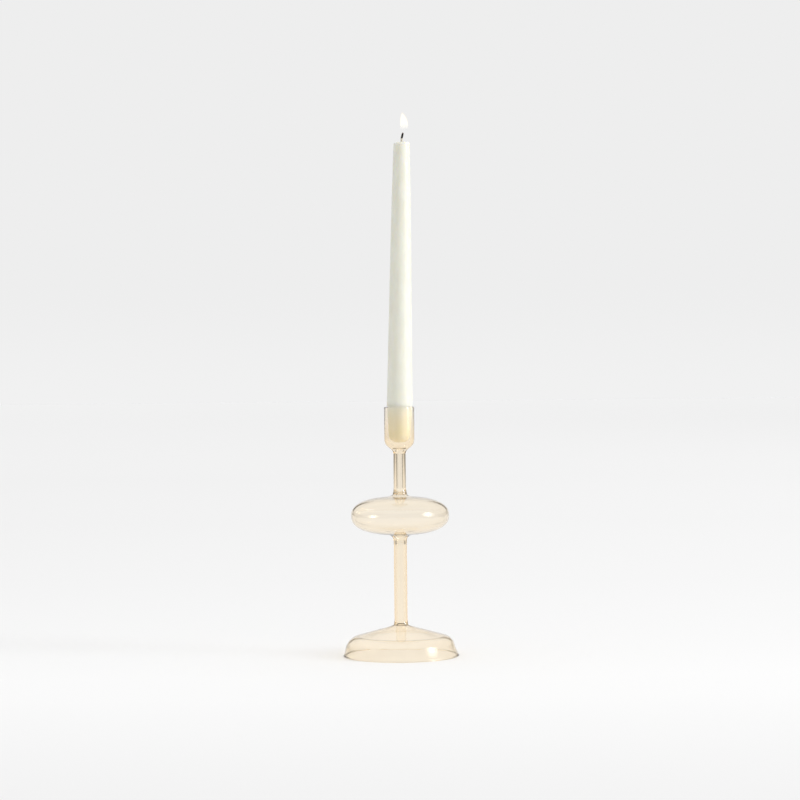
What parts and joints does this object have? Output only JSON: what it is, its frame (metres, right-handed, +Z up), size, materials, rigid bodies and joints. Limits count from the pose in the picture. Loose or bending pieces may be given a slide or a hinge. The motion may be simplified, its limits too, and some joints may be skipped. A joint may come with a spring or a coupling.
{
  "type": "glass candlestick",
  "caption": "Slender amber glass candlestick: bell foot, tube stem with a flattened oval bulb, cup for a taper, and a lit white taper candle that lifts out.",
  "frame": {"origin": "centre of the ring that the foot stands on, at table height", "axes": "+Z up along the axis of the holder, +X the way the candle leans, +Y away from the viewer"},
  "size_m": [0.0976, 0.0976, 0.4413],
  "materials": {
    "amber_glass": "clear pale amber borosilicate glass, fire-polished and glossy",
    "candle_wax": "smooth satin ivory-white wax, slightly translucent",
    "wick_cotton": "braided cotton, waxed, charred black where it has burnt"
  },
  "bodies": {
    "holder": {"foot": "amber_glass", "lower_stem": "amber_glass", "bulb": "amber_glass", "upper_stem": "amber_glass", "candle_cup": "amber_glass"},
    "candle": {"taper_candle": "candle_wax", "wick": "wick_cotton"}
  },
  "joints": [
    {"name": "candle_lift", "type": "slide", "parent": "holder", "child": "candle", "axis": [0, 0, 1], "range_m": [0, 0.04]}
  ]
}
